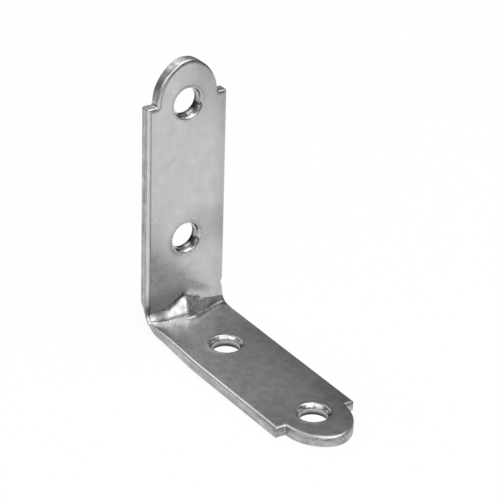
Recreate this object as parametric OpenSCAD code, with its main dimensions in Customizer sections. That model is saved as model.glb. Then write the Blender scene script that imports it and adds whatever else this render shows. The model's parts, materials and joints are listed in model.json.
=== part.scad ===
// Corner brace bracket: one strip of zinc-plated steel, folded square, with domed tips,
// two countersunk screw holes in each arm and a ridge pressed into the fold.
// X runs along the foot, Y across the strip and Z up the upright.
// The origin lies on the underside, in the middle of the foot's length and width.

/* [Strip] */
// Width of the strip
strip_w = 16; // [14:0.5:24]
// Thickness of the sheet
sheet_t = 2; // [1.6:0.1:2.8]
// How far the inner face's edges are rolled over, as punching leaves them
edge_roll = 0.3; // [0.1:0.05:0.5]

/* [Arms] */
// Height of the upright, from the underside of the foot to the end of the tip
upright_h = 51; // [46:1:90]
// Length of the foot, from the back of the upright to the end of the tip
foot_l = 49; // [46:1:90]

/* [Tips] */
// Width of the dome where it leaves the shoulders
tip_w = 12.2; // [11.4:0.2:13.6]
// Length of the dome, from its shoulders to its end
tip_l = 7.4; // [6.6:0.2:9]
// Radius at the very end of the dome
tip_end_r = 4.3; // [3.5:0.1:5]

/* [Holes] */
// Diameter of the screw hole
hole_d = 5; // [3.5:0.1:5.4]
// Diameter of the countersink at the inner face
sink_d = 5.8; // [5.6:0.1:8]
// Depth of the countersink
sink_depth = 0.7; // [0.5:0.1:1.4]
// From the end of a tip to the middle of the hole nearest to it
hole_edge = 8; // [7:0.5:10]
// Between the middles of an arm's two holes
hole_pitch = 26; // [18:1:28]

/* [Fold] */
// Radius inside the fold
fold_in_r = 1.4; // [0.8:0.1:2.5]
// Radius outside the fold
fold_out_r = 5; // [3.5:0.1:6]
// How far each edge of the strip draws in at the outside of the fold
fold_waist = 0.6; // [0.2:0.1:1.2]

/* [Pressed corner] */
// How far the pressed ridge climbs the upright, over the foot's top face
ridge_rise = 3.8; // [3:0.1:6]
// How far the pressed ridge runs out along the foot, from the upright's face
ridge_run = 2.2; // [1.8:0.1:5]
// Width of the pressed facets, where they die out in the fold
ridge_w = 11.2; // [8:0.2:14]
// Sheet left between the ridge inside and the dent outside
ridge_t = 1.7; // [1.3:0.1:2]

/* [Hidden] */
$fn = 96;

// Reach of a cut past the faces that it opens
past = 1;
// Half of the square fold, and what a 45 degree line loses in a round corner
fold_angle = 45;
corner_loss = 1 - cos(fold_angle);

half_w = strip_w / 2;
upright_root = upright_h - tip_l;
foot_root = foot_l - tip_l;

// Each side of the dome is an arc that leaves its shoulder square and meets the end arc smoothly
tip_half = tip_w / 2;
end_centre = tip_l - tip_end_r;
side_r = (pow(tip_half, 2) + pow(end_centre, 2) - pow(tip_end_r, 2)) / (2 * (tip_half - tip_end_r));
side_centre = side_r - tip_half;
// Where the side arcs hand over to the end arc, along the arm from the shoulders
handover = end_centre * side_r / (side_r - tip_end_r);

// Distances from the sharp outer corner along the line that halves the fold
fold_inside = (sheet_t + fold_in_r * corner_loss) / cos(fold_angle);
fold_outside = fold_out_r * corner_loss / cos(fold_angle);
waist_slope = fold_waist / (fold_inside - fold_outside);

// The pressed ridge faces away from the corner at this angle over the foot
ridge_angle = atan2(ridge_run, ridge_rise);
// Distances from the sharp outer corner along that direction
ridge_top = sheet_t * cos(ridge_angle) + (sheet_t + ridge_rise) * sin(ridge_angle);
inside_here = (sheet_t + fold_in_r) * (cos(ridge_angle) + sin(ridge_angle)) - fold_in_r;
outside_here = fold_out_r * (cos(ridge_angle) + sin(ridge_angle)) - fold_out_r;
dent_top = ridge_top - ridge_t;
facet_slope = (ridge_top - inside_here) / (ridge_w / 2);
dent_slope = (dent_top - outside_here) / (ridge_w / 2);

// Rectangle from the origin whose corner there is round
module round_cornered(length, height, radius) {
    difference() {
        square([length, height]);
        difference() {
            square(radius);
            translate([radius, radius]) circle(radius);
        }
    }
}

// The folded strip from the side, up to the shoulders
module side_profile() {
    difference() {
        round_cornered(foot_root, upright_root, fold_out_r);
        translate([sheet_t, sheet_t]) round_cornered(foot_root, upright_root, fold_in_r);
    }
}

module folded_strip() {
    translate([0, half_w, 0]) rotate([90, 0, 0]) linear_extrude(strip_w) side_profile();
}

// Disc of the sheet, flat on the ground, with the edge of its upper face rolled over
module sheet_disc(radius) {
    rotate_extrude()
        polygon([
            [0, 0],
            [radius, 0],
            [radius, sheet_t - edge_roll],
            [radius - edge_roll, sheet_t],
            [0, sheet_t]
        ]);
}

// Domed tip, flat on the ground, with its shoulders at X = 0
module tip() {
    intersection() {
        translate([0, -side_centre, 0]) sheet_disc(side_r);
        translate([0, side_centre, 0]) sheet_disc(side_r);
        translate([-past, -tip_half, 0]) cube([handover + past, tip_w, sheet_t]);
    }
    translate([end_centre, 0, 0]) sheet_disc(tip_end_r);
}

// The same on both edges of the strip
module both_edges() {
    children();
    mirror([0, 1, 0]) children();
}

// Section of what a rolled edge takes away: the edge itself is at the origin,
// the face lies towards -X and the sheet below it
module roll_section() {
    polygon([
        [-edge_roll - past, past],
        [past, -edge_roll - past],
        [past, past]
    ]);
}

// Takes the roll off both long edges and both shoulders of an arm that lies along X
module arm_rolls(root) {
    start = sheet_t + fold_in_r;
    both_edges() {
        translate([start, half_w, sheet_t])
            rotate([90, 0, 90]) linear_extrude(root - start + past) roll_section();
        translate([root, half_w + past, sheet_t])
            rotate([90, 0, 0]) linear_extrude(half_w + past - tip_half) roll_section();
    }
}

// Takes the roll off both edges of the round corner inside the fold
module fold_rolls() {
    axis = sheet_t + fold_in_r;
    both_edges()
        translate([axis, half_w, axis])
            rotate([-90, 0, 0]) rotate([0, 0, 90])
                rotate_extrude(angle = 90)
                    translate([fold_in_r, 0]) rotate(90) roll_section();
}

// Screw hole with its countersink in the upper face of a sheet that lies on the ground
module screw_hole() {
    rotate_extrude()
        polygon([
            [0, -past],
            [hole_d / 2, -past],
            [hole_d / 2, sheet_t - sink_depth],
            [sink_d / 2, sheet_t],
            [sink_d / 2, sheet_t + past],
            [0, sheet_t + past]
        ]);
}

// Both holes of an arm that lies along X and ends at arm_length
module arm_holes(arm_length) {
    for (place = [0, 1])
        translate([arm_length - hole_edge - place * hole_pitch, 0, 0]) screw_hole();
}

// Stands what lies along X up along Z, with its upper face towards +X
module stood_up() {
    rotate(180, [1, 0, 1]) children();
}

// Roof with its ridge over the line Y = 0, seen along the ridge: it faces away from the corner
module roof(top, slope, base, length) {
    rotate([0, -ridge_angle, 0])
        translate([0, 0, -length / 2])
            linear_extrude(length)
                polygon([
                    [top, 0],
                    [base, (top - base) / slope],
                    [base, -(top - base) / slope]
                ]);
}

// Facets raised inside the fold, kept within the strip's outer skin
module pressed_ridge() {
    reach = sheet_t + ridge_rise + ridge_run;
    intersection() {
        roof(ridge_top, facet_slope, fold_outside, 3 * reach);
        translate([0, half_w, 0]) rotate([90, 0, 0]) linear_extrude(strip_w)
            round_cornered(reach, reach, fold_out_r);
    }
}

// What the press took from the outside of the fold
module pressed_dent() {
    reach = sheet_t + ridge_rise + ridge_run;
    roof(dent_top, dent_slope, -past, 3 * reach);
}

// Edges that draw in towards the outside of the fold
module waist_cuts() {
    reach = 4 * fold_out_r;
    both_edges()
        rotate([0, -fold_angle, 0])
            translate([0, 0, -reach / 2])
                linear_extrude(reach)
                    polygon([
                        [fold_inside, half_w],
                        [0, half_w - waist_slope * fold_inside],
                        [0, half_w + past],
                        [fold_inside, half_w + past]
                    ]);
}

module brace() {
    color("silver")
        translate([-foot_l / 2, 0, 0])
            difference() {
                union() {
                    folded_strip();
                    translate([foot_root, 0, 0]) tip();
                    stood_up() translate([upright_root, 0, 0]) tip();
                    pressed_ridge();
                }
                arm_holes(foot_l);
                stood_up() arm_holes(upright_h);
                arm_rolls(foot_root);
                stood_up() arm_rolls(upright_root);
                fold_rolls();
                pressed_dent();
                waist_cuts();
            }
}

brace();
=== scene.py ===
import json
import math

import bmesh
import bpy
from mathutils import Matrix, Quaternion, Vector, noise


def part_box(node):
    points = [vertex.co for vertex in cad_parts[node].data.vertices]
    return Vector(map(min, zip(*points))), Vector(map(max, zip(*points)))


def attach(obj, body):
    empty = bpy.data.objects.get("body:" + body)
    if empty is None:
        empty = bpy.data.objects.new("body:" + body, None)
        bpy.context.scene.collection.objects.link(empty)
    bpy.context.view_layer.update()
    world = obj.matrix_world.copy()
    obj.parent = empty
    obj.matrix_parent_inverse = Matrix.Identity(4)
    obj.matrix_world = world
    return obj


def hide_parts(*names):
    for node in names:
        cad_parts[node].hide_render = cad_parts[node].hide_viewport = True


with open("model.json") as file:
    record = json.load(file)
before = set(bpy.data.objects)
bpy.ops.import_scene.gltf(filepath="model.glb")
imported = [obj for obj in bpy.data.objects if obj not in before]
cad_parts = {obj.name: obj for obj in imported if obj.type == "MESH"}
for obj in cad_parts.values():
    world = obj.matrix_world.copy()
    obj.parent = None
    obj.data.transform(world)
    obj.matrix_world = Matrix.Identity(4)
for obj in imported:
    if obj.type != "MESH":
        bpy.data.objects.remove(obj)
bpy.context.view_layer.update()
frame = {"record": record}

mm = 0.001
halfTurn = math.pi
quarterTurn = math.pi / 2

# What the frame says of the brace, in millimetres from the sharp outer corner of the fold
low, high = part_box("brace")
mounts = {mount["name"]: mount for mount in frame["record"]["mounts"]}
footLength = (high.x - low.x) / mm
uprightHeight = (high.z - low.z) / mm
stripWidth = (high.y - low.y) / mm
holeRadius = mounts["foot_holes"]["dims"]["hole_r_mm"]
footHoles = (mounts["foot_holes"]["pos_m"][0] - low.x) / mm
uprightHoles = (mounts["upright_holes"]["pos_m"][2] - low.z) / mm
holePitch = mounts["foot_holes"]["dims"]["spacing_x_mm"]

# The holes' middles along the flat strip, from the fold: the foot's and then the upright's
holePlaces = [middle + step * holePitch / 2
              for middle in (footHoles, -uprightHoles) for step in (-1, 1)]

# The blank as it is punched, in millimetres
blank = dict(
    sheet=2.0,
    domeWidth=12.2,
    domeLength=7.4,
    domeEnd=4.3,                # radius at the very end
    shoulderRound=0.25,         # the punch's corners
    sinkRadius=2.9,
    sinkDepth=0.7,
    faceRoll=0.2,               # how far the punch rolled the face's edge over
    backRoll=0.1,
    sinkRoll=0.18,
    boreBreak=0.12,
    droop=0.2,                  # how far the face falls away beside a rolled edge
    droopReach=0.8,
    lip=0.08,                   # how far the metal stands up round a countersink
    lipReach=0.7,
)

# How finely rounds are stepped: the dome's arcs, the drill, the corners and the rolled rims
rounds = dict(flank=24, domeEnd=40, drill=96, shoulder=4, face=5, back=2, sink=3, bore=2)

# Cuts that give the pressed metal enough points to flow, in millimetres
grid = dict(
    across=0.25,
    nearEdge=0.1,
    nearFold=0.2,
    alongArms=0.5,
    alongTips=0.2,
    throughSheet=0.5,
    shoulderGap=0.3,            # how far the cuts stay from the shoulders and the tips' ends
    edgeGap=0.05,               # and from the rolled edges
    weld=0.002,                 # points closer than this become one
)

# Lengths under this, in millimetres, count as none
slack = 0.001

# Edges that turn more than this, in degrees, are corners of the outline, are rims to roll
# over, or stay sharp in the end
turns = dict(corner=60, rim=20, sharp=35)

# The fold and what the press does to it, in millimetres. Pairs are for left and right, and
# ranges run from where a thing starts to where it ends.
fold = dict(
    insideRadius=1.4,
    outsideRadius=5.0,
    reach=9.0,                  # from the corner to where the arms are flat again
    ridgeRise=3.65,             # ridge on the upright, over the foot's face
    ridgeRun=2.3,               # ridge on the foot, from the upright's face
    ridgeSpread=(6.3, 5.6),     # how far its facets spread
    ridgeSag=(0.23, 0.0),       # how hollow they are
    ridgeSheet=1.7,             # sheet left between the ridge and the dent
    ridgeTurn=(-1.0, 1.0),      # range over which the left facet turns into the right one
    crest=0.45,                 # how round the ridge is
    creaseUpright=(0.35, 1.3),  # how soft the facets' borders are on the upright
    creaseFoot=(0.1, 1.0),      # and on the foot
    creaseTurn=(-1.5, 1.5),     # range along the strip from the first to the second
    creaseDent=0.6,
    waist=0.48,                 # how far the outside edges draw in
    waistUpright=(2.9, 5.4),    # range over which that fades out on the upright
    waistFoot=(2.0, 17.0),      # and on the foot
    flare=0.22,                 # how far the inside edges squeeze out
    flareReach=4.5,
    edgeBand=4.0,               # how far from an edge the metal still flows
    curl=(0.4, 0.06),           # how far the edges curl up beside the fold
    curlMiddle=6.0,
    curlReach=13.0,
    nick=0.3,                   # notch in the upright's right edge, just above the fold
    nickPlace=-4.7,
    nickReach=1.1,
    nickDepth=(0.3, 1.2),       # range over which it ends, from the edge
    swell=(0.42, 0.0),          # how far the facets bulge
    swellMiddle=-0.4,
    swellReach=3.4,
    hammer=(0.013, 0.03),       # unevenness that the press left
    hammerRidge=2.0,            # how many times that in the facets
    hammerReach=7.0,
    hammerFine=(0.8, 2.1),      # coarse and fine bumps, per millimetre
)


def bareSelection():
    # Operators act on all that is selected, so nothing is to start with
    if bpy.context.object and bpy.context.object.mode != "OBJECT":
        bpy.ops.object.mode_set(mode="OBJECT")
    bpy.ops.object.select_all(action="DESELECT")


def makeActive(piece):
    bareSelection()
    piece.select_set(True)
    bpy.context.view_layer.objects.active = piece


def pick(kind, wanted):
    # In edit mode, selects the vertices, edges or faces that wanted() is true for
    bpy.ops.mesh.select_mode(type={"verts": "VERT", "edges": "EDGE", "faces": "FACE"}[kind])
    bpy.ops.mesh.select_all(action="DESELECT")
    mesh = bmesh.from_edit_mesh(bpy.context.edit_object.data)
    mesh.normal_update()
    for item in getattr(mesh, kind):
        item.select_set(wanted(item))
    mesh.select_flush_mode()
    bmesh.update_edit_mesh(bpy.context.edit_object.data)


def endsAt(test):
    # An edge or face passes if all of its corners do
    return lambda item: all(test(corner.co) for corner in item.verts)


def near(a, b):
    return abs(a - b) < slack


def smooth(amount):
    # 0 below 0, 1 above 1 and a soft step between
    amount = min(max(amount, 0.0), 1.0)
    return amount * amount * (3 - 2 * amount)


def rise(place, start, end):
    # 0 before the start, 1 after the end
    return smooth((place - start) / (end - start))


def fade(place, start, end):
    # 1 before the start, 0 after the end
    return 1 - rise(place, start, end)


def hump(place, middle, reach):
    # 1 in the middle, 0 past the reach, soft at both ends
    away = abs(place - middle) / reach
    return (1 - away * away) ** 2 if away < 1 else 0.0


def runAlong(step):
    bpy.ops.mesh.extrude_region_move(TRANSFORM_OT_translate={"value": step})


def sweepRound(centre, angle, steps):
    bpy.ops.mesh.spin(steps=steps, angle=-angle, center=centre, axis=(0, 0, 1))


# The dome's flanks are arcs that leave the shoulder square and meet the round end smoothly
tipHalf = blank["domeWidth"] / 2
endCentre = blank["domeLength"] - blank["domeEnd"]
flankRadius = (tipHalf**2 + endCentre**2 - blank["domeEnd"]**2) / (2 * (tipHalf - blank["domeEnd"]))
flankCentre = flankRadius - tipHalf
flankAngle = math.atan2(endCentre, flankCentre)

halfWidth = stripWidth / 2
footRoot = footLength - blank["domeLength"]
uprightRoot = uprightHeight - blank["domeLength"]


def sweepDome(root, side):
    # The wall of a domed tip, anticlockwise from one shoulder to the other
    sweepRound((side * root, side * flankCentre, 0), flankAngle, rounds["flank"])
    sweepRound((side * (root + endCentre), 0, 0), halfTurn - 2 * flankAngle, rounds["domeEnd"])
    sweepRound((side * root, -side * flankCentre, 0), flankAngle, rounds["flank"])


def punchOutline():
    # X runs along the strip from the fold, with the foot at +X, and Z through the sheet.
    # The face that ends up inside the angle is on top.
    shoulder = halfWidth - tipHalf
    length = footRoot + uprightRoot
    middle = ((footRoot - uprightRoot) / 2, -halfWidth, blank["sheet"] / 2)
    bpy.ops.mesh.primitive_plane_add(size=1, location=middle, rotation=(quarterTurn, 0, 0))
    piece = bpy.context.object
    piece.name = "zincCornerBrace"
    bpy.ops.object.transform_apply(location=True, rotation=True, scale=True)
    bpy.ops.object.mode_set(mode="EDIT")
    bpy.ops.transform.resize(value=(length, 1, blank["sheet"]), center_override=middle)
    pick("edges", endsAt(lambda co: near(co.x, footRoot)))
    runAlong((0, shoulder, 0))
    sweepDome(footRoot, 1)
    runAlong((0, shoulder, 0))
    runAlong((-length, 0, 0))
    runAlong((0, -shoulder, 0))
    sweepDome(uprightRoot, -1)
    runAlong((0, -shoulder, 0))
    bpy.ops.mesh.select_all(action="SELECT")
    bpy.ops.mesh.remove_doubles(threshold=slack)
    for level in (0, blank["sheet"]):
        atLevel = endsAt(lambda co: near(co.z, level))
        pick("edges", lambda edge: edge.is_boundary and atLevel(edge))
        bpy.ops.mesh.edge_face_add()
    bpy.ops.mesh.select_all(action="SELECT")
    bpy.ops.mesh.normals_make_consistent(inside=False)
    # The punch's own corners, at both shoulders of both tips
    corner = math.radians(turns["corner"])
    pick("edges", lambda edge: near(abs(edge.verts[0].co.z - edge.verts[1].co.z), blank["sheet"])
         and edge.calc_face_angle(0) > corner)
    bpy.ops.mesh.bevel(offset=blank["shoulderRound"], offset_type="OFFSET",
                       segments=rounds["shoulder"], affect="EDGES")
    bpy.ops.object.mode_set(mode="OBJECT")
    return piece


def drillHole(piece, place):
    # A drill with a countersink above it, taken out of the blank
    sinkStart = blank["sheet"] - blank["sinkDepth"]
    past = 1.0
    wider = blank["sinkRadius"] / holeRadius
    bareSelection()
    bpy.ops.mesh.primitive_cylinder_add(vertices=rounds["drill"], radius=holeRadius,
                                        depth=sinkStart + past,
                                        location=(place, 0, (sinkStart - past) / 2))
    drill = bpy.context.object
    bpy.ops.object.transform_apply(location=True, rotation=True, scale=True)
    bpy.ops.object.mode_set(mode="EDIT")
    pick("faces", endsAt(lambda co: near(co.z, sinkStart)))
    runAlong((0, 0, blank["sinkDepth"]))
    bpy.ops.transform.resize(value=(wider, wider, 1), center_override=(place, 0, blank["sheet"]))
    runAlong((0, 0, past))
    bpy.ops.object.mode_set(mode="OBJECT")
    makeActive(piece)
    cut = piece.modifiers.new("hole", "BOOLEAN")
    cut.operation = "DIFFERENCE"
    cut.solver = "EXACT"
    cut.object = drill
    bpy.ops.object.modifier_apply(modifier=cut.name)
    bpy.data.objects.remove(drill)


def inHole(co):
    # The point is on a hole's wall or rim
    reach = blank["sinkRadius"] + 10 * slack
    return any(math.hypot(co.x - place, co.y) < reach for place in holePlaces)


def rollEdges(piece):
    # Rolls over every rim of the blank, each by its own amount
    sheet = blank["sheet"]
    makeActive(piece)
    bpy.ops.object.mode_set(mode="EDIT")
    steep = math.radians(turns["rim"])
    rims = (
        (sheet, False, blank["faceRoll"], rounds["face"]),
        (0, False, blank["backRoll"], rounds["back"]),
        (sheet, True, blank["sinkRoll"], rounds["sink"]),
        (0, True, blank["boreBreak"], rounds["bore"]),
    )
    for level, atHole, amount, segments in rims:
        onRim = endsAt(lambda co: near(co.z, level) and inHole(co) == atHole)
        pick("edges", lambda edge: edge.calc_face_angle(0) > steep and onRim(edge))
        bpy.ops.mesh.bevel(offset=amount, offset_type="OFFSET", segments=segments, affect="EDGES",
                           clamp_overlap=False)
    bpy.ops.object.mode_set(mode="OBJECT")


def cutAcross(place, normal):
    bpy.ops.mesh.select_all(action="SELECT")
    bpy.ops.mesh.bisect(plane_co=place, plane_no=normal)


def stepsBetween(first, last, step):
    count = max(1, round((last - first) / step))
    return [first + (last - first) * i / count for i in range(count + 1)]


def cutGrid(piece):
    # Lays a grid of cuts over the blank, fine at the fold, the tips and the long edges, for
    # the metal to flow in
    reach = fold["reach"]
    gap = grid["shoulderGap"]
    makeActive(piece)
    bpy.ops.object.mode_set(mode="EDIT")
    along = (stepsBetween(-uprightHeight + gap, -uprightRoot - gap, grid["alongTips"])
             + stepsBetween(-uprightRoot + gap, -reach, grid["alongArms"])
             + stepsBetween(-reach, reach, grid["nearFold"])[1:-1]
             + stepsBetween(reach, footRoot - gap, grid["alongArms"])
             + stepsBetween(footRoot + gap, footLength - gap, grid["alongTips"]))
    for place in along:
        cutAcross((place, 0, 0), (1, 0, 0))
    edge = halfWidth - blank["faceRoll"] - grid["edgeGap"]
    inner = halfWidth - blank["droopReach"]
    across = (stepsBetween(-edge, -inner, grid["nearEdge"])
              + stepsBetween(-inner, inner, grid["across"])[1:-1]
              + stepsBetween(inner, edge, grid["nearEdge"]))
    for place in across:
        cutAcross((0, place, 0), (0, 1, 0))
    for place in stepsBetween(0, blank["sheet"], grid["throughSheet"])[1:-1]:
        cutAcross((0, 0, place), (0, 0, 1))
    bpy.ops.mesh.select_all(action="SELECT")
    bpy.ops.mesh.remove_doubles(threshold=grid["weld"])
    bpy.ops.object.mode_set(mode="OBJECT")


def outlineGap(along, across):
    # How far inside the blank's outline a point lies, and 0 on its walls
    past = abs(along) - (footRoot if along > 0 else uprightRoot)
    across = abs(across)
    if past > 0:
        if math.atan2(past, across + flankCentre) < flankAngle:
            return max(0, flankRadius - math.hypot(past, across + flankCentre))
        return max(0, blank["domeEnd"] - math.hypot(past - endCentre, across))
    side = halfWidth - across
    if across > tipHalf:
        return min(side, -past)
    return min(side, math.hypot(past, tipHalf - across))


def holeGap(along, across):
    # How far outside the rolled rim of the nearest countersink a point lies
    away = min(math.hypot(along - place, across) for place in holePlaces)
    return away - blank["sinkRadius"] - blank["sinkRoll"]


def flatFall(along, across):
    # How far the face has dropped there, beside an edge and, upwards, round a countersink
    edge = max(0, 1 - outlineGap(along, across) / blank["droopReach"])
    sink = max(0, 1 - max(0, holeGap(along, across)) / blank["lipReach"])
    return blank["droop"] * edge * edge - blank["lip"] * sink * sink


def skinPoint(along, radius, offset):
    # A point of the folded strip's side view, on the skin that lies offset from the back:
    # flat arms, and between them a round corner of the given radius. Along is 0 in the middle
    # of the corner and grows down the foot.
    reach = fold["reach"]
    way = abs(along)
    if way < reach:
        centre = offset + radius
        arc = radius * quarterTurn / 2
        way *= (reach - centre + arc) / reach
        if way < arc:
            turn = (arc - way) / radius
            point = (centre - radius * math.sin(turn), centre - radius * math.cos(turn))
        else:
            point = (centre + way - arc, offset)
    else:
        point = (way, offset)
    return point if along >= 0 else (point[1], point[0])


def innerSkin(along):
    return skinPoint(along, fold["insideRadius"], blank["sheet"])


def outerSkin(along):
    return skinPoint(along, fold["outsideRadius"], 0.0)


# The press pushed this way in the side view, and these are distances from the corner along it
ridgeAngle = math.atan2(fold["ridgeRun"], fold["ridgeRise"])
pushX, pushZ = math.cos(ridgeAngle), math.sin(ridgeAngle)
ridgeTop = blank["sheet"] * pushX + (blank["sheet"] + fold["ridgeRise"]) * pushZ
dentTop = ridgeTop - fold["ridgeSheet"]
innerFold = (blank["sheet"] + fold["insideRadius"]) * (pushX + pushZ) - fold["insideRadius"]
outerFold = fold["outsideRadius"] * (pushX + pushZ) - fold["outsideRadius"]


def alongPush(point):
    # The same distance for any point of the side view
    return point[0] * pushX + point[1] * pushZ


def softMax(a, b, softness):
    # The larger of the two, with a round handover
    mix = min(max(0.5 + 0.5 * (b - a) / softness, 0.0), 1.0)
    return a + (b - a) * mix + softness * mix * (1 - mix) * 0.5


def leftToRight(across, pair):
    # Hands over from the left value to the right one across the ridge
    return pair[0] + (pair[1] - pair[0]) * rise(across, *fold["ridgeTurn"])


def ridgeAt(across):
    # How far out the ridge's crest or facet lies there, and the dent's behind it
    spread = (math.hypot(across, fold["crest"]) - fold["crest"]) / fold["ridgeSpread"][across > 0]
    spread += leftToRight(across, fold["ridgeSag"]) * hump(spread, 0.5, 0.5)
    return ridgeTop - (ridgeTop - innerFold) * spread, dentTop - (dentTop - outerFold) * spread


def pressSkins(along, across, through):
    # How far the press pushed the inner and the outer skin there: a ridge inside and a dent
    # outside, with a little unevenness
    rough = leftToRight(across, fold["hammer"]) * hump(along, 0, fold["hammerReach"])
    if rough:
        spot = Vector((along, across, through))
        coarse, fine = fold["hammerFine"]
        rough *= noise.noise(spot * coarse) + 0.5 * noise.noise(spot * fine)
    onUpright = leftToRight(across, fold["creaseUpright"])
    onFoot = leftToRight(across, fold["creaseFoot"])
    crease = onFoot + (onUpright - onFoot) * fade(along, *fold["creaseTurn"])
    inner = alongPush(innerSkin(along))
    outer = alongPush(outerSkin(along))
    ridge, dent = ridgeAt(across)
    ridge += leftToRight(across, fold["swell"]) * hump(along, fold["swellMiddle"], fold["swellReach"])
    ridge += rough * fold["hammerRidge"]
    return (softMax(inner, ridge, crease) - inner + rough,
            softMax(outer, dent, fold["creaseDent"]) - outer)


def edgeFlow(along, across, share):
    # How far the metal near an edge went sideways and up there: the outside drew in, the
    # inside squeezed out, the press nicked the right edge, and both edges curled. The curl
    # leaves out the line in the middle of the fold.
    onRight = across > 0
    toEdge = rise(abs(across), halfWidth - fold["edgeBand"], halfWidth)
    fadeOut = fold["waistFoot" if along > 0 else "waistUpright"]
    drawn = fold["waist"] * fade(abs(along), *fadeOut) * (1 - share)
    squeezed = fold["flare"] * hump(along, 0, fold["flareReach"]) * share
    if onRight:
        nick = fold["nick"] * hump(along, fold["nickPlace"], fold["nickReach"])
        squeezed -= nick * share * fade(halfWidth - across, *fold["nickDepth"])
    sideways = math.copysign(toEdge, across) * (squeezed - drawn)
    if not along:
        return sideways, 0.0
    return sideways, toEdge * fold["curl"][onRight] * hump(along, fold["curlMiddle"], fold["curlReach"])


def pressPoint(along, across, through):
    # Where a point of the flat blank ends up: along the strip, across it, and how far through
    # the sheet from its back
    sheet = blank["sheet"]
    through -= flatFall(along, across) * rise(through, sheet / 2, sheet)
    share = through / sheet
    inner, outer = innerSkin(along), outerSkin(along)
    innerPush, outerPush = pressSkins(along, across, through)
    push = outerPush + (innerPush - outerPush) * share
    sideways, up = edgeFlow(along, across, share)
    x = outer[0] + (inner[0] - outer[0]) * share
    z = outer[1] + (inner[1] - outer[1]) * share
    return Vector((x + push * pushX, across + sideways, z + up + push * pushZ))


# Painted shade on the face, and painted light where an amount is below 0: how much, and its range.
# Ranges run from where a thing starts to where it is full or gone, in millimetres along the flat strip
# or across it.
broadPaintedShade = dict(
    footEnd=(0.2, 30.0, 42.0),
    footLeft=(-0.1, 0.0, -8.0),
    footLeftEnd=(28.0, 38.0),
    footRight=(0.36, -1.0, 9.0),
    footStart=(7.0, 15.0),      # where both sides of the foot start
    dome=(0.3, -34.0, -50.0),
    domeAcross=(-2.4, 3.6),
    uprightRight=(0.17, 4.5, 8.0),
    hole=0.2,                   # beside the upright's lower hole
    holeMiddle=-18.0,
    holeReach=6.0,
    holeAcross=(-1.0, 1.0),
    beside=(0.33, -8.5, -4.5),  # on the upright, beside the left facet
    besideAcross=(-0.5, 1.5),
    besideBorder=(0.0, 0.3),
    besideEnd=(-1.5, 0.0),
    # Painted light: the wall of the upright's dome is made brighter
    domeWall=-0.35,             # brighter on the wall of the upright's dome
    domeWallAcross=(-2.0, 3.0),
)

# Painted shade on the face and in the holes, from 0 to 1, with the same ranges: darker in the creases
# and borders of the pressed facets, round each countersink and on one side of each hole's wall. A
# border is that of the pressed facets, and distances from it are positive outside them.
dirt = dict(
    ring=0.4,                   # round each countersink
    ringReach=(0.0, 0.3),
    hole=0.75,                  # on one side of each hole's wall, in degrees round it
    holeTurn=50,
    holeSpread=26,
    uneven=0.16,                # how far the left border wanders
    unevenFine=1.3,
    crease=0.9,                 # in the left border on the upright
    creaseOutside=(0.0, 0.55),
    creaseInside=(0.0, 0.45),
    creaseAlong=(-1.6, -0.1),
    creaseAcross=(-0.5, 0.5),
    streakShade=0.4,                  # in streaks down the left facet
    streakShadeCoarse=(0.5, 1.6),     # their bumps per millimetre, along and across
    streakShadeFine=(1.0, 4.0),
    streakShadeShare=(-0.15, 0.85),
    streakShadeMiddle=-1.0,
    streakShadeReach=1.1,
    streakShadeAcross=(-0.3, 0.3),
    far=0.65,                   # in the right border on the foot
    farMiddle=0.25,
    farBorder=(0.35, 1.0),
    farAlong=(-0.84, 0.36),
    farAcross=(0.0, 1.5),
    end=0.8,                    # where the left border meets the edge
    endPlace=-2.9,
    endReach=3.0,
    endEdge=(0.3, 1.3),
)


def paintedRamp(place, amounts):
    most, start, full = amounts
    return most * rise(place, start, full)


# Broad painted shade over the face, and painted light where it is below 0
def broadPaintedShadeAt(along, across):
    if along > 0:
        left = paintedRamp(across, broadPaintedShade["footLeft"]) * fade(along, *broadPaintedShade["footLeftEnd"])
        sides = left + paintedRamp(across, broadPaintedShade["footRight"])
        return paintedRamp(along, broadPaintedShade["footEnd"]) + sides * rise(along, *broadPaintedShade["footStart"])
    hole = broadPaintedShade["hole"] * hump(along, broadPaintedShade["holeMiddle"], broadPaintedShade["holeReach"])
    return (paintedRamp(along, broadPaintedShade["dome"]) * rise(across, *broadPaintedShade["domeAcross"])
            + paintedRamp(across, broadPaintedShade["uprightRight"])
            + hole * rise(across, *broadPaintedShade["holeAcross"]))


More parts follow.
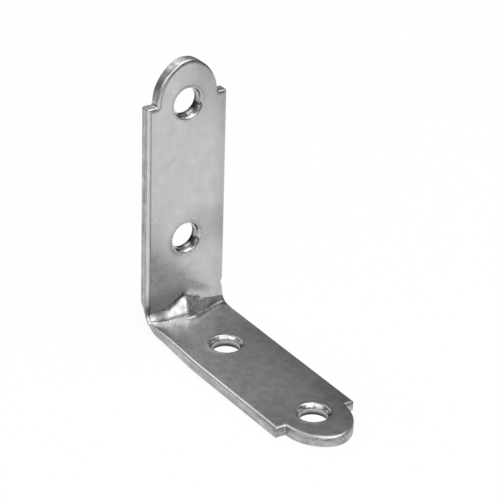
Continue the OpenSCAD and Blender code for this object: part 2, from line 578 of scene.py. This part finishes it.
def foldPaintedShade(along, across):
    # The darkest of the painted shades in the fold: in the facets' borders, in streaks down the left
    # facet and beside it
    place = alongPush(innerSkin(along))
    facet = ridgeAt(across)[0]
    border = place - facet
    border += dirt["uneven"] * noise.noise(Vector((along, across, 0)) * dirt["unevenFine"])
    crease = fade(border, *dirt["creaseOutside"]) * fade(-border, *dirt["creaseInside"])
    crease *= dirt["crease"] * fade(along, *dirt["creaseAlong"]) * fade(across, *dirt["creaseAcross"])
    beside = paintedRamp(along, broadPaintedShade["beside"]) * rise(border, *broadPaintedShade["besideBorder"])
    beside *= fade(across, *broadPaintedShade["besideAcross"]) * fade(along, *broadPaintedShade["besideEnd"])
    streaks = 0.0
    for share, (fineAlong, fineAcross) in ((1.0, dirt["streakShadeCoarse"]), (0.5, dirt["streakShadeFine"])):
        streaks += share * noise.noise(Vector((along * fineAlong, across * fineAcross, 0)))
    streakShade = rise(streaks, *dirt["streakShadeShare"]) * hump(border, dirt["streakShadeMiddle"], dirt["streakShadeReach"])
    streakShade *= dirt["streakShade"] * fade(across, *dirt["streakShadeAcross"])
    beyond = place - max(innerFold, facet)
    far = fade(abs(beyond - dirt["farMiddle"]), *dirt["farBorder"])
    far *= dirt["far"] * rise(along, *dirt["farAlong"]) * rise(across, *dirt["farAcross"])
    end = dirt["end"] * hump(along, dirt["endPlace"], dirt["endReach"])
    end *= fade(across + halfWidth, *dirt["endEdge"])
    return max(crease, beside, streakShade, far, end)


def paintedShadeAt(along, across):
    # Painted shade, from 0 for none to 1 for black, with the broad painted shade and light added
    dark = dirt["ring"] * fade(holeGap(along, across), *dirt["ringReach"])
    if abs(along) < fold["reach"]:
        dark = max(dark, foldPaintedShade(along, across))
    return dark + broadPaintedShadeAt(along, across) * (1 - dark)


def holePaintedShade(along, across):
    # Painted shade on one side of a hole's wall
    place = min(holePlaces, key=lambda middle: abs(along - middle))
    turn = math.degrees(math.atan2(across, along - place))
    return dirt["hole"] * hump(turn, dirt["holeTurn"], dirt["holeSpread"])


def noteFlat(piece):
    # Keeps each point's place on the flat blank, its distance from the outline and its painted shade,
    # or painted light on the upright dome's wall, for the finish to follow
    piece.data.attributes.new("flat", "FLOAT_VECTOR", "POINT")
    piece.data.attributes.new("rimGap", "FLOAT", "POINT")
    piece.data.attributes.new("dirt", "FLOAT", "POINT")
    flat, rimGap, dark = (piece.data.attributes[name].data for name in ("flat", "rimGap", "dirt"))
    for vert in piece.data.vertices:
        along, across, through = vert.co
        rim = outlineGap(along, across)
        flat[vert.index].vector = vert.co
        rimGap[vert.index].value = rim
        # Painted light on the upright dome's wall, painted shade on one side of each hole's wall, and
        # on the face the painted shade of the fold, the countersinks and the broad tones
        if rim < slack and along < -uprightRoot:
            dark[vert.index].value = broadPaintedShade["domeWall"] * fade(across, *broadPaintedShade["domeWallAcross"])
        elif holeGap(along, across) < -slack:
            dark[vert.index].value = holePaintedShade(along, across)
        elif through > blank["sheet"] / 2:
            dark[vert.index].value = paintedShadeAt(along, across)


# The finish: zinc over steel, on the rolled faces, on the punched walls and in the holes
# The edge line is a painted shadow beside the left edges, and the back darkening is painted shade low
# in the holes' walls
plate = dict(
    zincFace=dict(
        colour=0.56, blotch=0.05, grain=0.02, streak=0.02, streakStretch=(0.06, 2.5, 1.0),
        wear=0.1, edgeShadowLine=0.5, backShadow=0.0,
        roughness=0.29, roughSpread=0.06, waviness=0.010, pitting=0.0003,
    ),
    zincWall=dict(
        colour=0.43, blotch=0.20, grain=0.32, streak=0.25, streakStretch=(0.12, 1.0, 1.8),
        wear=0.0, edgeShadowLine=0.0, backShadow=0.0,
        roughness=0.42, roughSpread=0.12, waviness=0.010, pitting=0.004,
    ),
    zincHole=dict(
        colour=0.56, blotch=0.20, grain=0.22, streak=0.10, streakStretch=(1.6, 1.6, 0.3),
        wear=0.0, edgeShadowLine=0.0, backShadow=0.93,
        roughness=0.24, roughSpread=0.10, waviness=0.016, pitting=0.004,
    ),
)

# The noise that they share: features per millimetre of the flat blank, and octaves
pattern = dict(
    blotch=(0.45, 3),
    grain=(4.5, 2),
    streak=(1.0, 3),
    roughness=(0.8, 4),
    waves=(0.35, 2),
    pits=(5.0, 3),
)

# Ranges on the flat blank, in millimetres: from the outline for the first three
span = dict(
    wear=(0.2, 0.5),
    # The line is a painted shadow beside the left edges
    lineStart=(0.4, 0.55),      # the dark line beside the left edges
    lineEnd=(0.6, 0.8),
    lineAcross=(-2, 2),
    lineAlong=(30, 41),
    # The painted shade low in the holes' walls, through the sheet
    back=(0.3, 1.2),            # through the sheet
    noise=(0.3, 0.7),           # where most of a noise lies
)
tint = (0.99, 1.0, 1.01)

# How level a face's normal lies on a wall, and how far down it points on the back
facing = dict(wall=0.25, back=-0.9)


def markFinishes(piece):
    # Gives each face its finish, by where it lies and which way it looks
    order = list(plate)
    for face in piece.data.polygons:
        kind = "zincFace"
        if holeGap(face.center.x, face.center.y) < -slack and face.normal.z > facing["back"]:
            kind = "zincHole"
        elif abs(face.normal.z) < facing["wall"]:
            kind = "zincWall"
        face.material_index = order.index(kind)


def platedSteel(name, look):
    finish = bpy.data.materials.new(name)
    finish.use_nodes = True
    nodes, links = finish.node_tree.nodes, finish.node_tree.links
    shader = nodes["Principled BSDF"]
    shader.inputs["Metallic"].default_value = 1.0

    def node(kind, **settings):
        made = nodes.new(kind)
        for key, value in settings.items():
            setattr(made, key, value)
        return made

    def noiseOf(kind, stretch=(1, 1, 1)):
        mapping = node("ShaderNodeMapping")
        mapping.inputs["Scale"].default_value = stretch
        links.new(flat.outputs["Vector"], mapping.inputs["Vector"])
        made = node("ShaderNodeTexNoise")
        made.inputs["Scale"].default_value, made.inputs["Detail"].default_value = pattern[kind]
        links.new(mapping.outputs[0], made.inputs["Vector"])
        return made.outputs["Fac"]

    def spread(source, first, last, over="noise"):
        # Runs from the first value to the last one over the named range
        made = node("ShaderNodeMapRange")
        values = (*span[over], first, last)
        for key, value in zip(("From Min", "From Max", "To Min", "To Max"), values):
            made.inputs[key].default_value = value
        links.new(source, made.inputs["Value"])
        return made.outputs[0]

    def combine(operation, first, *others):
        for other in others:
            made = node("ShaderNodeMath", operation=operation)
            for socket, value in zip(made.inputs, (first, other)):
                if isinstance(value, (int, float)):
                    socket.default_value = value
                else:
                    links.new(value, socket)
            first = made.outputs[0]
        return first

    def aroundZero(kind, stretch=(1, 1, 1)):
        return spread(noiseOf(kind, stretch), -look[kind], look[kind])

    flat = node("ShaderNodeAttribute", attribute_name="flat")
    gap = node("ShaderNodeAttribute", attribute_name="rimGap").outputs["Fac"]
    shadeMask = node("ShaderNodeAttribute", attribute_name="dirt").outputs["Fac"]
    place = node("ShaderNodeSeparateXYZ")
    links.new(flat.outputs["Vector"], place.inputs[0])

    wear = spread(gap, look["wear"], 0, "wear")
    shade = combine("ADD", aroundZero("blotch"), aroundZero("grain"),
                    aroundZero("streak", look["streakStretch"]), wear)
    # A painted shadow line beside the left edges; the tone then takes away the painted shade kept in
    # the points, the line, and the painted shade low in the holes
    line = combine("MULTIPLY", spread(gap, 0, look["edgeShadowLine"], "lineStart"),
                   spread(gap, 1, 0, "lineEnd"),
                   spread(place.outputs["Y"], 1, 0, "lineAcross"),
                   spread(place.outputs["X"], 1, 0, "lineAlong"))
    tone = combine("MULTIPLY", combine("ADD", shade, 1.0), look["colour"],
                   combine("SUBTRACT", 1.0, shadeMask), combine("SUBTRACT", 1.0, line),
                   spread(place.outputs["Z"], 1 - look["backShadow"], 1.0, "back"))
    colour = node("ShaderNodeCombineColor")
    for socket, share in zip(colour.inputs, tint):
        links.new(combine("MULTIPLY", tone, share), socket)
    links.new(colour.outputs[0], shader.inputs["Base Color"])

    rough = spread(noiseOf("roughness"), look["roughness"] - look["roughSpread"],
                   look["roughness"] + look["roughSpread"])
    links.new(rough, shader.inputs["Roughness"])

    wave = node("ShaderNodeBump")
    wave.inputs["Distance"].default_value = look["waviness"] * mm
    links.new(noiseOf("waves"), wave.inputs["Height"])
    pits = node("ShaderNodeBump")
    pits.inputs["Distance"].default_value = look["pitting"] * mm
    links.new(noiseOf("pits"), pits.inputs["Height"])
    links.new(wave.outputs[0], pits.inputs["Normal"])
    links.new(pits.outputs[0], shader.inputs["Normal"])
    return finish


def pressFold(piece):
    for vert in piece.data.vertices:
        vert.co = pressPoint(*vert.co)
    piece.data.update()


def finishMesh(piece):
    # From millimetres at the corner to the frame's metres
    makeActive(piece)
    bpy.ops.object.mode_set(mode="EDIT")
    bpy.ops.mesh.select_all(action="SELECT")
    bpy.ops.transform.resize(value=(mm, mm, mm), center_override=(0, 0, 0))
    bpy.ops.transform.translate(value=(low.x, 0, low.z))
    bpy.ops.mesh.normals_make_consistent(inside=False)
    bpy.ops.object.mode_set(mode="OBJECT")
    bpy.ops.object.shade_smooth_by_angle(angle=math.radians(turns["sharp"]))


def buildBrace():
    bareSelection()
    piece = punchOutline()
    print("outline punched:", len(piece.data.vertices), "points")
    for place in holePlaces:
        drillHole(piece, place)
    print("holes drilled and countersunk:", len(piece.data.vertices), "points")
    rollEdges(piece)
    print("edges rolled:", len(piece.data.vertices), "points")
    cutGrid(piece)
    print("grid cut:", len(piece.data.vertices), "points")
    noteFlat(piece)
    piece.data.materials.clear()
    for name, look in plate.items():
        piece.data.materials.append(platedSteel(name, look))
    markFinishes(piece)
    pressFold(piece)
    finishMesh(piece)
    print("folded and pressed:", len(piece.data.polygons), "faces")
    return piece


# The camera as fitted to the photograph: degrees, and millimetres in the frame. The lens and
# the sensor are as a camera has them, and clipping starts at so many metres.
view = dict(
    azimuth=54.774, elevation=29.244, roll=1.653, distance=449.32,
    aim=(-0.912, -1.552, 25.232), lens=194.1, sensor=36.0, clipStart=0.01,
)


def setCamera():
    azimuth = math.radians(view["azimuth"])
    elevation = math.radians(view["elevation"])
    back = Vector((math.sin(azimuth) * math.cos(elevation),
                   -math.cos(azimuth) * math.cos(elevation), math.sin(elevation)))
    bpy.ops.object.camera_add()
    camera = bpy.context.object
    camera.name = "studioCamera"
    camera.data.lens = view["lens"]
    camera.data.sensor_width = view["sensor"]
    camera.data.clip_start = view["clipStart"]
    camera.location = (Vector(view["aim"]) + view["distance"] * back) * mm
    camera.rotation_euler = (quarterTurn - elevation, 0, azimuth)
    turn = camera.rotation_euler.to_quaternion()
    turn.rotate(Quaternion(back, math.radians(view["roll"])))
    camera.rotation_euler = turn.to_euler()
    bpy.context.scene.camera = camera


# The table is small, so that the metal shows a dark room beyond it, low over the horizon.
# Lengths are in metres, radiances are linear, and 1 is white.
studio = dict(
    tableSize=0.5,
    tableGap=0.00002,
    tableColour=0.9,
    whiteSeen=0.92,             # share of plain white in it for the camera
    whiteMirrored=0.65,         # and for reflections
    boxesAim=0.02,              # height that the soft boxes face
    room=((0.0, 0.05), (0.56, 0.02), (0.64, 0.31), (0.72, 0.355), (0.77, 0.24), (1.0, 0.3)),
)

# Soft boxes: azimuth runs from +X towards +Y, in degrees, and sizes are in metres
softBoxes = {
    "frontBox": dict(azimuth=-10, elevation=36, distance=1.2, size=1.05, radiance=1.75),
    "rightBox": dict(azimuth=33, elevation=27, distance=1.2, size=0.42, radiance=0.35),
    "nearBox": dict(azimuth=-55, elevation=32, distance=1.2, size=0.5, radiance=1.6),
    "leftBox": dict(azimuth=-85, elevation=30, distance=1.2, size=0.7, radiance=1.2),
    "rearBox": dict(azimuth=184, elevation=45, distance=1.2, size=0.75, radiance=1.4),
    "overheadBox": dict(azimuth=66, elevation=73, distance=1.2, size=1.05, radiance=2.3),
}


def litOrSeen(tree, lit, seen):
    # Mixes in the second shader where the camera, a reflection or a refraction looks at it
    nodes, links = tree.nodes, tree.links
    path = nodes.new("ShaderNodeLightPath")
    total = None
    for ray, share in (("Is Camera Ray", studio["whiteSeen"]),
                       ("Is Glossy Ray", studio["whiteMirrored"]),
                       ("Is Transmission Ray", studio["whiteMirrored"])):
        add = nodes.new("ShaderNodeMath")
        add.operation = "MULTIPLY_ADD"
        links.new(path.outputs[ray], add.inputs[0])
        add.inputs[1].default_value = share
        if total:
            links.new(total, add.inputs[2])
        else:
            add.inputs[2].default_value = 0
        total = add.outputs[0]
    mix = nodes.new("ShaderNodeMixShader")
    links.new(total, mix.inputs[0])
    links.new(lit, mix.inputs[1])
    links.new(seen, mix.inputs[2])
    return mix.outputs[0]


def setTable():
    bareSelection()
    bpy.ops.mesh.primitive_plane_add(size=studio["tableSize"], location=(0, 0, -studio["tableGap"]))
    table = bpy.context.object
    table.name = "paleTable"
    finish = bpy.data.materials.new("paleTable")
    finish.use_nodes = True
    nodes = finish.node_tree.nodes
    nodes.clear()
    out = nodes.new("ShaderNodeOutputMaterial")
    diffuse = nodes.new("ShaderNodeBsdfDiffuse")
    diffuse.inputs["Color"].default_value = (studio["tableColour"],) * 3 + (1,)
    white = nodes.new("ShaderNodeEmission")
    mixed = litOrSeen(finish.node_tree, diffuse.outputs[0], white.outputs[0])
    finish.node_tree.links.new(mixed, out.inputs["Surface"])
    table.data.materials.append(finish)


def setRoom():
    # White for the camera, and for all else dim, by the height of the ray's direction, which
    # runs from -1 to 1
    world = bpy.data.worlds.new("studio")
    bpy.context.scene.world = world
    world.use_nodes = True
    nodes, links = world.node_tree.nodes, world.node_tree.links
    nodes.clear()
    out = nodes.new("ShaderNodeOutputWorld")
    white = nodes.new("ShaderNodeBackground")
    white.inputs["Color"].default_value = (1, 1, 1, 1)
    room = nodes.new("ShaderNodeBackground")
    mix = nodes.new("ShaderNodeMixShader")
    path = nodes.new("ShaderNodeLightPath")
    direction = nodes.new("ShaderNodeTexCoord")
    split = nodes.new("ShaderNodeSeparateXYZ")
    height = nodes.new("ShaderNodeMapRange")
    height.inputs["From Min"].default_value = -1
    ramp = nodes.new("ShaderNodeValToRGB")
    stops = ramp.color_ramp.elements
    while len(stops) < len(studio["room"]):
        stops.new(0.5)
    for stop, (position, level) in zip(stops, studio["room"]):
        stop.position = position
        stop.color = (level, level, level, 1)
    links.new(direction.outputs["Generated"], split.inputs[0])
    links.new(split.outputs["Z"], height.inputs["Value"])
    links.new(height.outputs[0], ramp.inputs[0])
    links.new(ramp.outputs[0], room.inputs["Color"])
    links.new(path.outputs["Is Camera Ray"], mix.inputs[0])
    links.new(room.outputs[0], mix.inputs[1])
    links.new(white.outputs[0], mix.inputs[2])
    links.new(mix.outputs[0], out.inputs["Surface"])


def addSoftBox(name, azimuth, elevation, distance, size, radiance):
    # A square lamp that faces the brace
    azimuth, elevation = math.radians(azimuth), math.radians(elevation)
    away = Vector((math.cos(azimuth) * math.cos(elevation),
                   math.sin(azimuth) * math.cos(elevation), math.sin(elevation)))
    place = away * distance + Vector((0, 0, studio["boxesAim"]))
    bpy.ops.object.light_add(type="AREA", location=place)
    lamp = bpy.context.object
    lamp.name = name
    lamp.rotation_euler = away.to_track_quat("Z", "Y").to_euler()
    lamp.data.shape = "SQUARE"
    lamp.data.size = size
    lamp.data.energy = radiance * math.pi * size * size


brace = buildBrace()
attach(brace, "root")
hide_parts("brace")

setCamera()
setTable()
setRoom()
for name, box in softBoxes.items():
    addSoftBox(name, **box)
print("studio set:", len(softBoxes), "soft boxes")

scene = bpy.context.scene
scene.view_settings.view_transform = "Standard"
